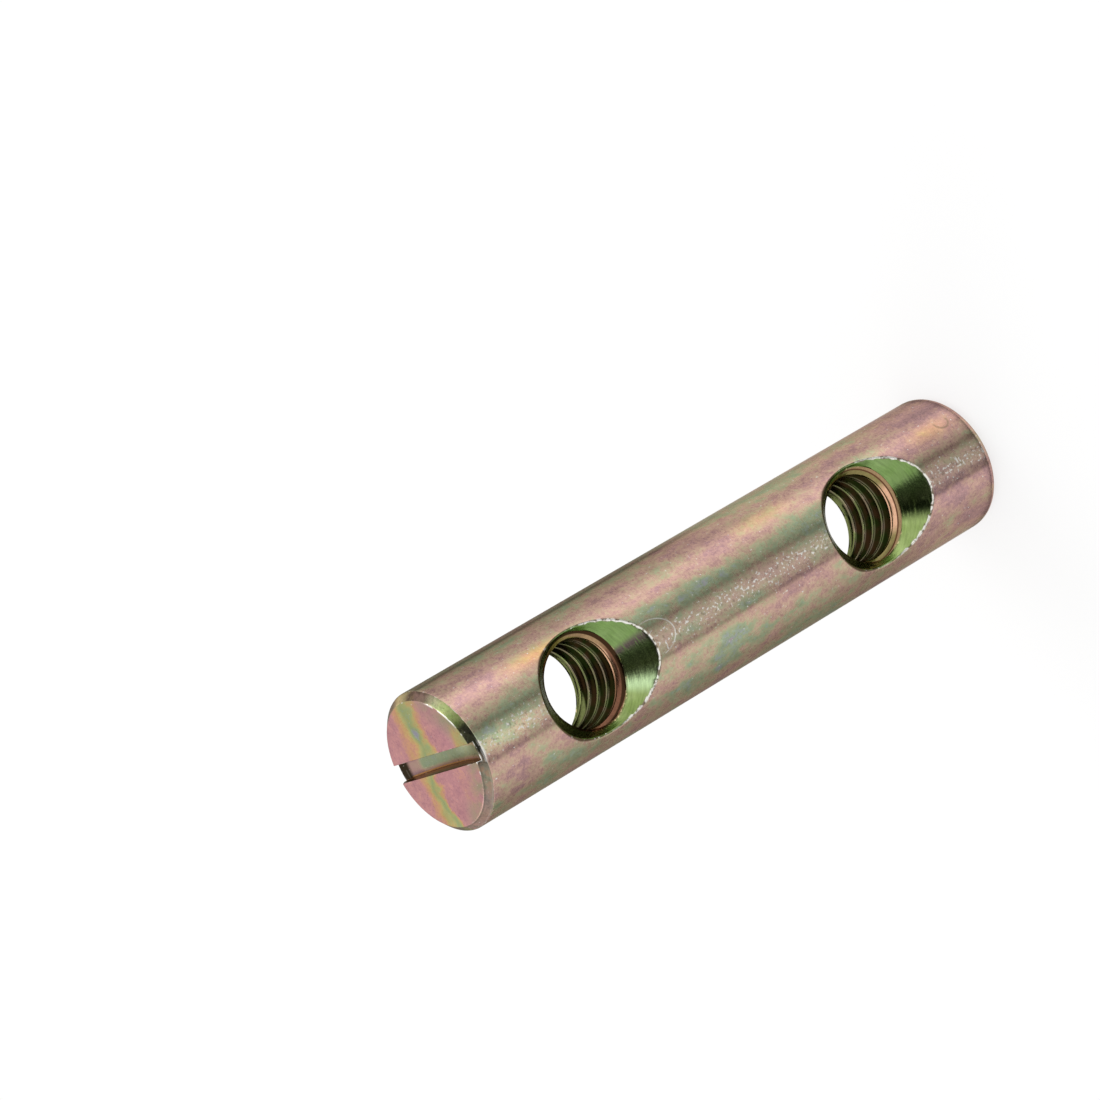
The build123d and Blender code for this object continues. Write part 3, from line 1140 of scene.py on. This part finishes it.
def make_dowel():
    """The whole dowel: its blank, then the two threads, then the rounding of its edges."""
    shell = Shell()
    index, windows, floor_row, chamfer_row = lay_side(shell)
    lay_plain_end(shell, index[0])
    lay_slotted_end(shell, index, floor_row, chamfer_row)
    chamfer_edge = index[chamfer_row]
    for a, b in zip(chamfer_edge, chamfer_edge[1:] + chamfer_edge[:1]):
        if a is not None and b is not None:
            shell.round_edges([a, b], edge_break)
    for height, crest_depth, window in zip(hole_heights, crest_depths, windows):
        lay_hole(shell, height, crest_depth, index, window)

    mesh = bpy.data.meshes.new("dowel_blank")
    mesh.from_pydata(shell.points, [], shell.faces)
    mesh.polygons.foreach_set("material_index", shell.zones)
    mesh.polygons.foreach_set("use_smooth", [True] * len(shell.faces))
    weights = mesh.attributes.new("bevel_weight_edge", "FLOAT", "EDGE")
    for edge in mesh.edges:
        a, b = edge.vertices
        weights.data[edge.index].value = shell.rounded.get((min(a, b), max(a, b)), 0.0)
    reach = mesh.attributes.new("tap_reach", "FLOAT", "POINT")
    for point, value in shell.reach.items():
        reach.data[point].value = value
    wear = mesh.attributes.new("edge_wear", "FLOAT", "POINT")
    for (a, b), amount in shell.rounded.items():
        for point in (a, b):
            wear.data[point].value = max(wear.data[point].value, amount)
    burr = mesh.attributes.new("burr", "FLOAT", "POINT")
    for point, value in shell.burr.items():
        burr.data[point].value = value
    bored = mesh.attributes.new("bored", "BOOLEAN", "FACE")
    bored.data.foreach_set("value", [zone == BORE for zone in shell.zones])
    mesh.update()
    work = bmesh.new()
    work.from_mesh(mesh)
    bmesh.ops.recalc_face_normals(work, faces=work.faces)
    work.to_mesh(mesh)
    work.free()

    finishes = [side_finish(), end_finish(), bore_finish()]
    for material in finishes:
        mesh.materials.append(material)
    blank = bpy.data.objects.new("dowel_blank", mesh)
    bpy.context.scene.collection.objects.link(blank)
    tree = tapped_thread_tree(finishes[BORE])
    for height, crest_depth in zip(hole_heights, crest_depths):
        modifier = blank.modifiers.new("thread", "NODES")
        modifier.node_group = tree
        set_input(modifier, "Hole Height", height)
        set_input(modifier, "Crest Depth", crest_depth)
    rounding = blank.modifiers.new("rounded_edges", "BEVEL")
    rounding.limit_method = "WEIGHT"
    rounding.width = rim_round
    rounding.segments = 3
    rounding.use_clamp_overlap = True
    graph = bpy.context.evaluated_depsgraph_get()
    evaluated = blank.evaluated_get(graph)
    finished = bpy.data.meshes.new_from_object(
        evaluated, preserve_all_data_layers=True, depsgraph=graph)
    finished.name = "threaded_dowel"
    bpy.data.objects.remove(blank)
    finished.set_sharp_from_angle(angle=math.radians(40))
    dowel = bpy.data.objects.new("threaded_dowel", finished)
    bpy.context.scene.collection.objects.link(dowel)
    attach(dowel, "root")
    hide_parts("dowel")
    return dowel


# ---------------------------------------------------------------- stage, light and camera

def glow(name, wire):
    """A surface that shines by itself, with the strength that wire gives."""
    paint = Finish(name)
    tree = paint.tree
    tree.nodes.remove(paint.shader)
    shine = tree.nodes.new("ShaderNodeEmission")
    paint.feed(shine.inputs["Strength"], wire(paint))
    tree.links.new(shine.outputs[0], tree.nodes["Material Output"].inputs["Surface"])
    return paint.material


def stage_piece(name, points, faces, material, only_reflected=True):
    mesh = bpy.data.meshes.new(name)
    mesh.from_pydata(points, [], faces)
    mesh.polygons.foreach_set("use_smooth", [True] * len(faces))
    mesh.materials.append(material)
    piece = bpy.data.objects.new(name, mesh)
    bpy.context.scene.collection.objects.link(piece)
    if only_reflected:
        piece.visible_camera = False
        piece.visible_diffuse = False
        piece.visible_transmission = False
        piece.visible_volume_scatter = False
        piece.visible_shadow = False
    return piece


def make_floor():
    material = bpy.data.materials.new("white_floor")
    material.use_nodes = True
    tree = material.node_tree
    tree.nodes.clear()
    output = tree.nodes.new("ShaderNodeOutputMaterial")
    diffuse = tree.nodes.new("ShaderNodeBsdfDiffuse")
    diffuse.inputs["Color"].default_value = (0.9, 0.9, 0.9, 1)
    shine = tree.nodes.new("ShaderNodeEmission")
    shine.inputs["Color"].default_value = (1, 1, 1, 1)
    shine.inputs["Strength"].default_value = 1.0
    mix = tree.nodes.new("ShaderNodeMixShader")
    rays = tree.nodes.new("ShaderNodeLightPath")
    either = tree.nodes.new("ShaderNodeMath")
    either.operation = "MAXIMUM"
    tree.links.new(rays.outputs["Is Camera Ray"], either.inputs[0])
    tree.links.new(rays.outputs["Is Glossy Ray"], either.inputs[1])
    share = tree.nodes.new("ShaderNodeMath")
    share.operation = "MULTIPLY"
    share.inputs[1].default_value = 0.75
    tree.links.new(either.outputs[0], share.inputs[0])
    tree.links.new(share.outputs[0], mix.inputs[0])
    tree.links.new(diffuse.outputs[0], mix.inputs[1])
    tree.links.new(shine.outputs[0], mix.inputs[2])
    tree.links.new(mix.outputs[0], output.inputs["Surface"])
    half = 1.0
    corners = [(-half, -half, 0), (half, -half, 0), (half, half, 0), (-half, half, 0)]
    stage_piece("floor", corners, [(0, 1, 2, 3)], material, only_reflected=False)


# brightness of the boards that lie round the dowel, by their azimuth from -Y towards +X
board_tones = (
    (-180, 0.42), (-150, 0.38), (-134, 0.44), (-110, 0.38), (-86, 0.62), (-62, 0.80), (-48, 0.98),
    (-36, 0.92), (-29, 0.34), (-22, 0.36), (-14, 0.90), (-2, 0.88), (9, 0.60), (19, 0.32),
    (27, 0.32), (40, 0.66), (57, 0.88), (67, 1.30), (84, 1.16), (95, 0.76), (108, 0.56),
    (130, 0.56), (146, 0.36), (160, 0.25), (180, 0.42),
)


def make_boards():
    """Boards on the floor that only the metal sees, so that light and dark bands run along it."""
    viewed_from = 6                # degrees, the azimuth of the camera
    side_radius = dowel_radius / MM

    def strength(paint):
        away = paint.length(paint.x, paint.y)
        # azimuth of the surface that sees this place, and from it the direction it looks in
        swept = paint.times(away, paint.plus(paint.azimuth, viewed_from))
        swept = paint.minus(swept, viewed_from * side_radius)
        seen_from = paint.math("DIVIDE", swept, paint.minus(paint.times(away, 2), side_radius))
        looks = paint.minus(paint.times(seen_from, 2), viewed_from)
        tone = paint.ramp(paint.turned(looks), [((a + 180) / 360, (t, t, t)) for a, t in board_tones])
        right = paint.times(paint.step(looks, 92, 140), paint.step(away, 58, 44))
        left = paint.times(paint.step(looks, -84, -110), paint.step(away, 26, 12))
        middle = paint.times(paint.band(looks, -4, 16), paint.step(away, 26, 12))
        tone = paint.total((tone, 1.0), (right, 0.42), (left, 0.28), (middle, -0.30))
        foot = paint.step(away, 7.0, 8.6)
        return paint.times(tone, paint.plus(paint.times(foot, 0.85), 0.15))

    count = 96
    points = []
    for radius in (7.3 * MM, 500 * MM):
        for k in range(count):
            turn = 2 * math.pi * k / count
            points.append((radius * math.sin(turn), -radius * math.cos(turn), 0.2 * MM))
    faces = [(k, (k + 1) % count, count + (k + 1) % count, count + k) for k in range(count)]
    stage_piece("bounce_boards", points, faces, glow("board_tone", strength))


def make_dark_card():
    """A black card before the dowel, from low to high, that the threads and countersinks show."""
    card_radius = 300 * MM
    card_height = dowel_length / 2

    def strength(paint):
        rise = paint.minus(paint.z, card_height / MM)
        reach = paint.minus((card_radius / MM) ** 2, paint.times(rise, rise))
        height = paint.times(paint.math("ARCTAN2", rise, paint.math("SQRT", reach)), 180 / math.pi)
        aside = paint.math("ABSOLUTE", paint.minus(paint.azimuth, 2))
        inside = paint.times(paint.step(height, 32, 42), paint.step(height, 84, 72))
        inside = paint.times(paint.step(aside, 46, 30), inside)
        return paint.minus(1.0, paint.times(inside, 0.94))

    points = []
    across, up = 24, 24
    for j in range(up + 1):
        height = math.radians(blend(28, 86, j / up))
        for i in range(across + 1):
            turn = math.radians(blend(-48, 52, i / across))
            flat = card_radius * math.cos(height)
            z = card_height + card_radius * math.sin(height)
            points.append((flat * math.sin(turn), -flat * math.cos(turn), z))
    row = across + 1
    faces = [(j * row + i, j * row + i + 1, (j + 1) * row + i + 1, (j + 1) * row + i)
             for j in range(up) for i in range(across)]
    stage_piece("dark_card", points, faces, glow("card_tone", strength))


def make_lamp(name, azimuth, elevation, distance, size, power):
    data = bpy.data.lights.new(name, "AREA")
    data.shape = "DISK"
    data.size = size
    data.energy = power
    lamp = bpy.data.objects.new(name, data)
    azimuth, elevation = math.radians(azimuth), math.radians(elevation)
    away = Vector((
        math.sin(azimuth) * math.cos(elevation),
        -math.cos(azimuth) * math.cos(elevation),
        math.sin(elevation),
    ))
    place = Matrix.Translation(Vector((0, 0, dowel_length / 2)) + away * distance)
    lamp.matrix_world = place @ away.to_track_quat("Z", "Y").to_matrix().to_4x4()
    lamp.visible_camera = False
    bpy.context.scene.collection.objects.link(lamp)


def make_world():
    world = bpy.data.worlds.new("studio")
    bpy.context.scene.world = world
    world.use_nodes = True
    background = world.node_tree.nodes["Background"]
    background.inputs["Color"].default_value = (1, 1, 1, 1)
    background.inputs["Strength"].default_value = 1.0


def make_camera():
    """A long lens that looks down along the dowel and is rolled so that the dowel lies."""
    target = Vector((11.60, 1.21, 47.14)) * MM
    azimuth = math.radians(5.97)
    elevation = math.radians(35.46)
    distance = 439.6 * MM
    roll = math.radians(119.66)
    back_to_camera = Vector((
        math.sin(azimuth) * math.cos(elevation),
        -math.cos(azimuth) * math.cos(elevation),
        math.sin(elevation),
    ))
    data = bpy.data.cameras.new("camera")
    data.sensor_width = 36.0
    data.lens = 154.6
    data.clip_start = 0.01
    data.clip_end = 10
    camera = bpy.data.objects.new("camera", data)
    bpy.context.scene.collection.objects.link(camera)
    level = (-back_to_camera).to_track_quat("-Z", "Y").to_matrix()
    rolled = level @ Matrix.Rotation(-roll, 3, "Z")
    camera.matrix_world = Matrix.Translation(target + back_to_camera * distance) @ rolled.to_4x4()
    bpy.context.scene.camera = camera


make_dowel()
make_floor()
make_boards()
make_dark_card()
make_lamp("key_lamp", 118, 52, 0.7, 0.40, 0.9)
make_lamp("fill_lamp", -125, 42, 0.7, 0.40, 0.6)
make_world()
make_camera()
bpy.context.scene.view_settings.view_transform = "Standard"
